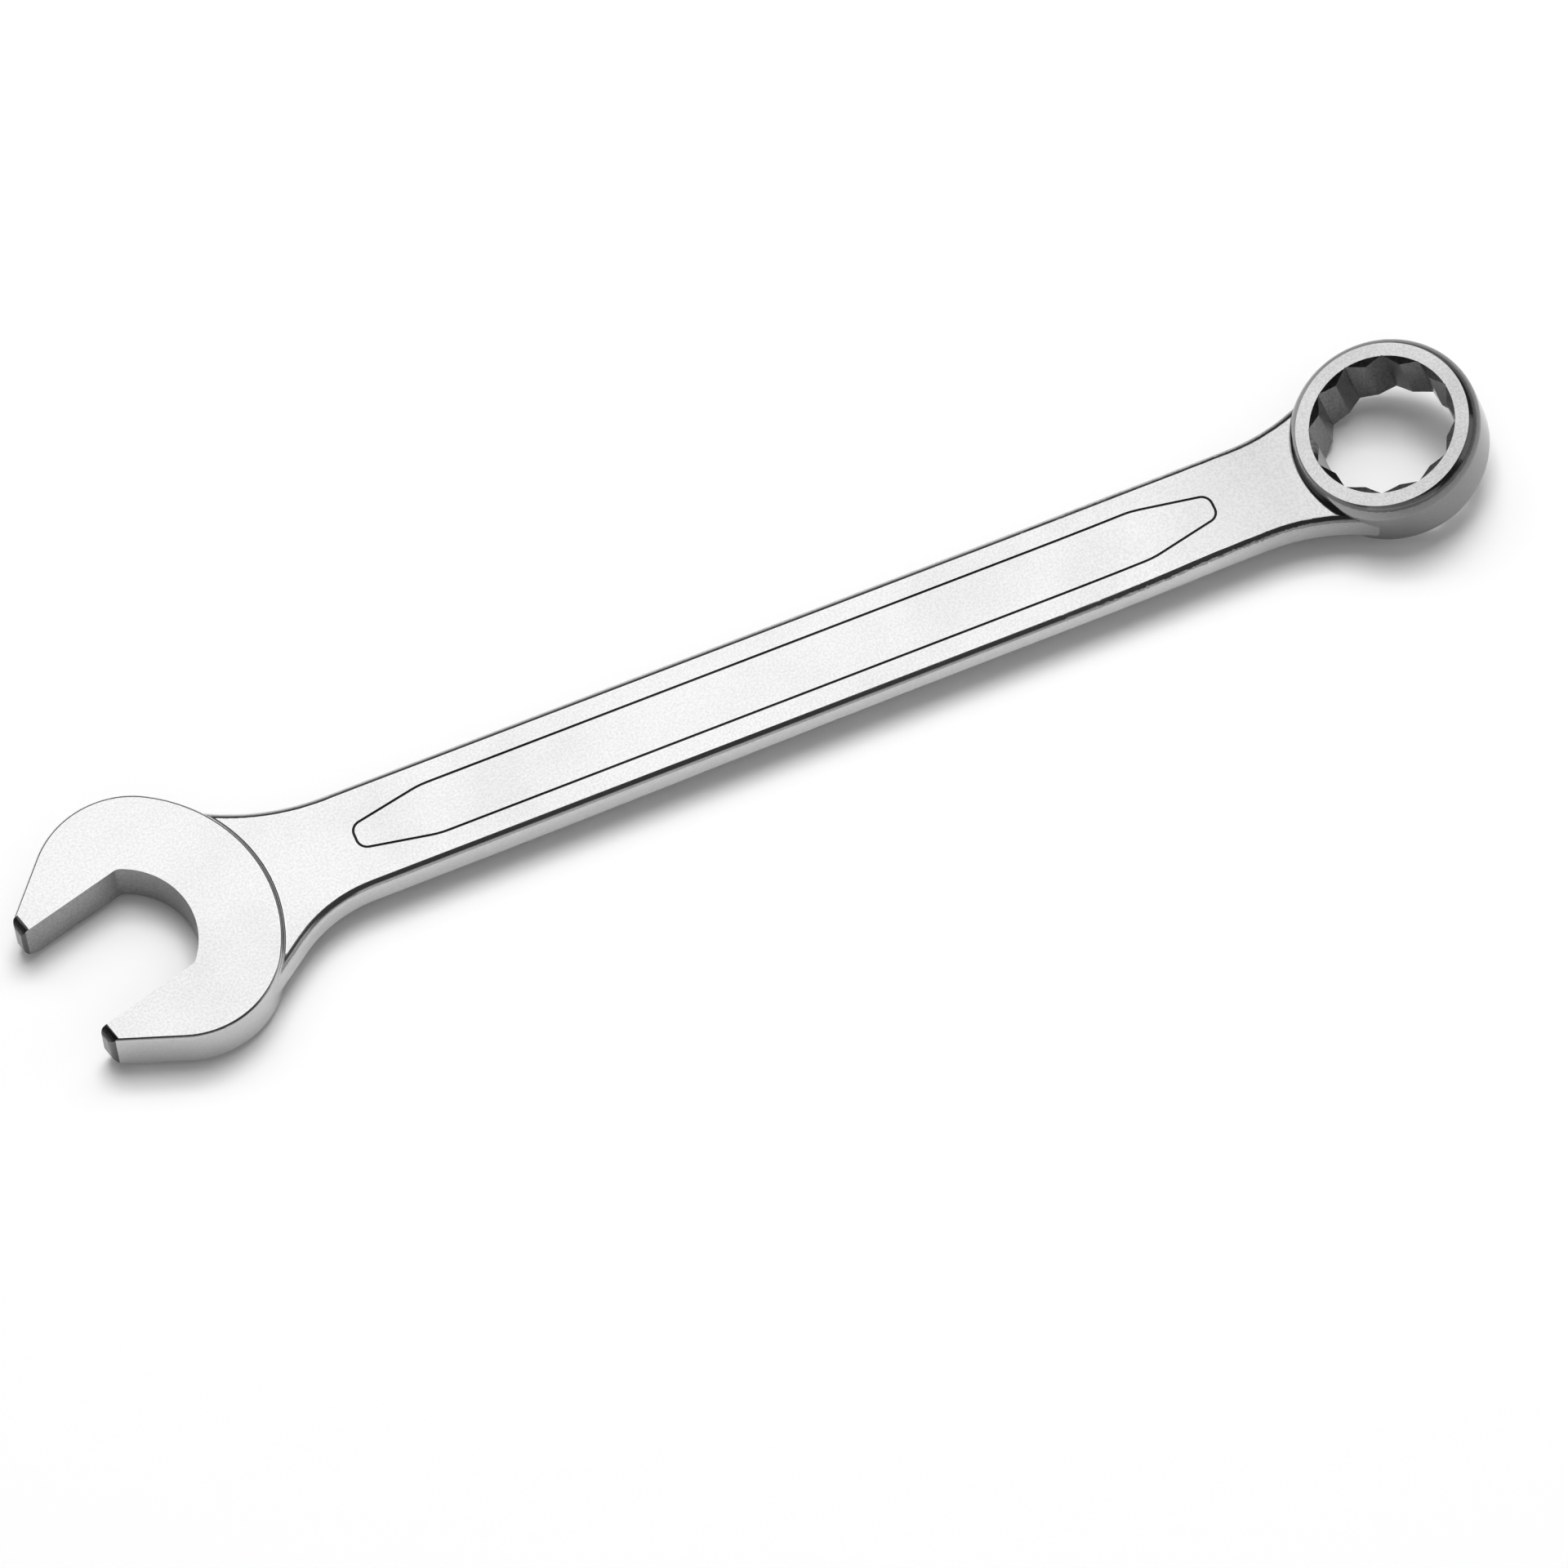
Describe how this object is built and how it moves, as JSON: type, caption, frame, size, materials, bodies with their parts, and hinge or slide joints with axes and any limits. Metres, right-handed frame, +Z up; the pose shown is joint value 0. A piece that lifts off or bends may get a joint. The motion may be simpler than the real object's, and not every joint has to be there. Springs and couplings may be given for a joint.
{
  "type": "combination wrench",
  "caption": "Offset combination wrench: an angled open jaw at one end of a flat shank and a tilted ring with a star-shaped socket at the other, for turning hex nuts and bolts.",
  "frame": {"origin": "middle of the bounding box's footprint, at the height of the ring's lowest edge", "axes": "+X runs along the level shank from the open jaw to the ring, +Y across the shank, +Z up, out of the face that has the raised side of the ring"},
  "size_m": [0.2056, 0.037, 0.0162],
  "materials": {
    "satin_chrome": "satin chrome plate on a ground forging"
  },
  "bodies": {
    "root": {"open_end_head": "satin_chrome", "shank": "satin_chrome", "ring_end_head": "satin_chrome"}
  },
  "joints": []
}
